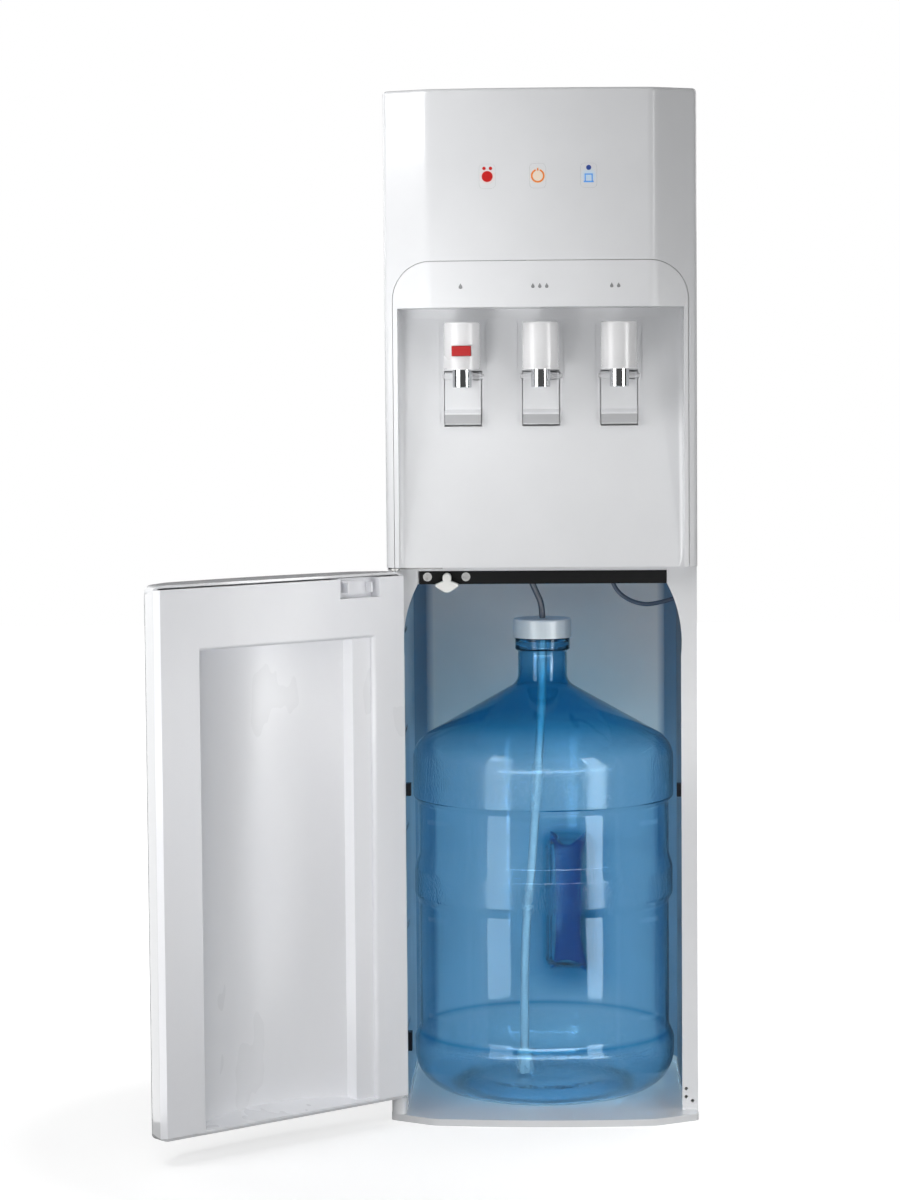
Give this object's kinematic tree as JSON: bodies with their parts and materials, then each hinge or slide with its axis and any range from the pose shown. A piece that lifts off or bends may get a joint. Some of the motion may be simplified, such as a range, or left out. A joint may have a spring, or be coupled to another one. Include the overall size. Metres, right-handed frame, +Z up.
{
  "type": "bottom load water cooler",
  "caption": "Tall bottom-load water cooler with hot, room and cold push taps in an arched niche and a swung-open bay door showing a capped water bottle.",
  "frame": {"origin": "on the floor under the middle of the cabinet", "axes": "+X to the right seen from the front, -Y out of the front, +Z up; the door is stored open as pictured"},
  "size_m": [0.5286, 0.5117, 1.032],
  "materials": {
    "cabinet_white": "gloss",
    "side_white": "satin",
    "rear_grey": "satin",
    "bay_grey": "satin",
    "liner_grey": "satin",
    "trim_black": "matte",
    "screw_steel": "satin",
    "strike_white": "gloss",
    "lens_smoke": "gloss",
    "board_green": "matte",
    "tap_white": "gloss",
    "spout_chrome": "polished",
    "paddle_white": "satin",
    "lock_red": "gloss",
    "bottle_blue": "gloss",
    "cap_white": "satin",
    "hose_clear": "satin",
    "lead_grey": "matte",
    "rubber_black": "matte",
    "machine_black": "satin",
    "tank_steel": "satin",
    "foam_white": "matte",
    "pump_grey": "matte",
    "rocker_red": "gloss",
    "rocker_green": "gloss"
  },
  "bodies": {
    "cabinet": {"base_plinth": "cabinet_white", "bay_back_wall": "bay_grey", "bay_wall_left": "bay_grey", "bay_wall_right": "bay_grey", "bottle": "bottle_blue", "cable_gland": "trim_black", "cold_spout": "spout_chrome", "cold_tank": "tank_steel", "cold_tank_insulation": "foam_white", "cold_tap_body": "tap_white", "compressor": "machine_black", "compressor_feet": "rubber_black", "condenser": "machine_black", "control_board": "board_green", "dip_tube": "hose_clear", "dip_tube_foot": "cap_white", "dispenser_panel": "cabinet_white", "divider_shelf": "bay_grey", "door_strike": "strike_white", "drain_spigot": "pump_grey", "front_frame": "side_white", "hinge_bracket": "screw_steel", "hinge_pins": "screw_steel", "hose_grommets": "rubber_black", "hot_spout": "spout_chrome", "hot_tank": "tank_steel", "hot_tap_body": "tap_white", "indicator_board": "board_green", "indicator_lenses": "lens_smoke", "latch_bar": "trim_black", "latch_bar_screws": "screw_steel", "paddle_pins": "screw_steel", "paddle_springs": "screw_steel", "probe_cap": "cap_white", "pump_hose": "hose_clear", "rear_panel": "rear_grey", "room_spout": "spout_chrome", "room_tap_body": "tap_white", "sensor_lead": "lead_grey", "side_panel_left": "side_white", "side_panel_right": "side_white", "suction_hose": "hose_clear", "switch_housings": "trim_black", "tank_link": "tank_steel", "top_cover": "cabinet_white", "upper_fascia": "cabinet_white", "wall_clips": "trim_black", "water_pump": "pump_grey"},
    "door": {"door_outer": "cabinet_white", "door_liner": "liner_grey", "door_catch": "liner_grey", "door_bushes": "cap_white"},
    "hot_paddle": {"hot_paddle": "paddle_white"},
    "room_paddle": {"room_paddle": "paddle_white"},
    "cold_paddle": {"cold_paddle": "paddle_white"},
    "hot_lock": {"hot_lock_button": "lock_red"},
    "hot_rocker": {"hot_switch": "rocker_red"},
    "cold_rocker": {"cold_switch": "rocker_green"}
  },
  "joints": [
    {"name": "door_hinge", "type": "hinge", "parent": "cabinet", "child": "door", "pos_m": [-0.147, -0.1315, 0.29], "axis": [0, 0, 1], "range_deg": [-21, 138.9]},
    {"name": "hot_paddle_hinge", "type": "hinge", "parent": "cabinet", "child": "hot_paddle", "pos_m": [-0.078, -0.11017, 0.75], "axis": [1, 0, 0], "range_deg": [0, 10], "stiffness_Nm_per_rad": 0.1, "springref_deg": -20.05},
    {"name": "room_paddle_hinge", "type": "hinge", "parent": "cabinet", "child": "room_paddle", "pos_m": [0, -0.11017, 0.75], "axis": [1, 0, 0], "range_deg": [0, 10], "stiffness_Nm_per_rad": 0.1, "springref_deg": -20.05},
    {"name": "cold_paddle_hinge", "type": "hinge", "parent": "cabinet", "child": "cold_paddle", "pos_m": [0.078, -0.11017, 0.75], "axis": [1, 0, 0], "range_deg": [0, 10], "stiffness_Nm_per_rad": 0.1, "springref_deg": -20.05},
    {"name": "hot_lock_push", "type": "slide", "parent": "cabinet", "child": "hot_lock", "axis": [0, 1, 0], "range_m": [0, 0.0025], "stiffness_N_per_m": 400, "springref_m": -0.002},
    {"name": "hot_rocker_tilt", "type": "hinge", "parent": "cabinet", "child": "hot_rocker", "pos_m": [0.084, 0.1585, 0.96], "axis": [1, 0, 0], "range_deg": [-18, 0]},
    {"name": "cold_rocker_tilt", "type": "hinge", "parent": "cabinet", "child": "cold_rocker", "pos_m": [0.116, 0.1585, 0.96], "axis": [1, 0, 0], "range_deg": [-18, 0]}
  ]
}
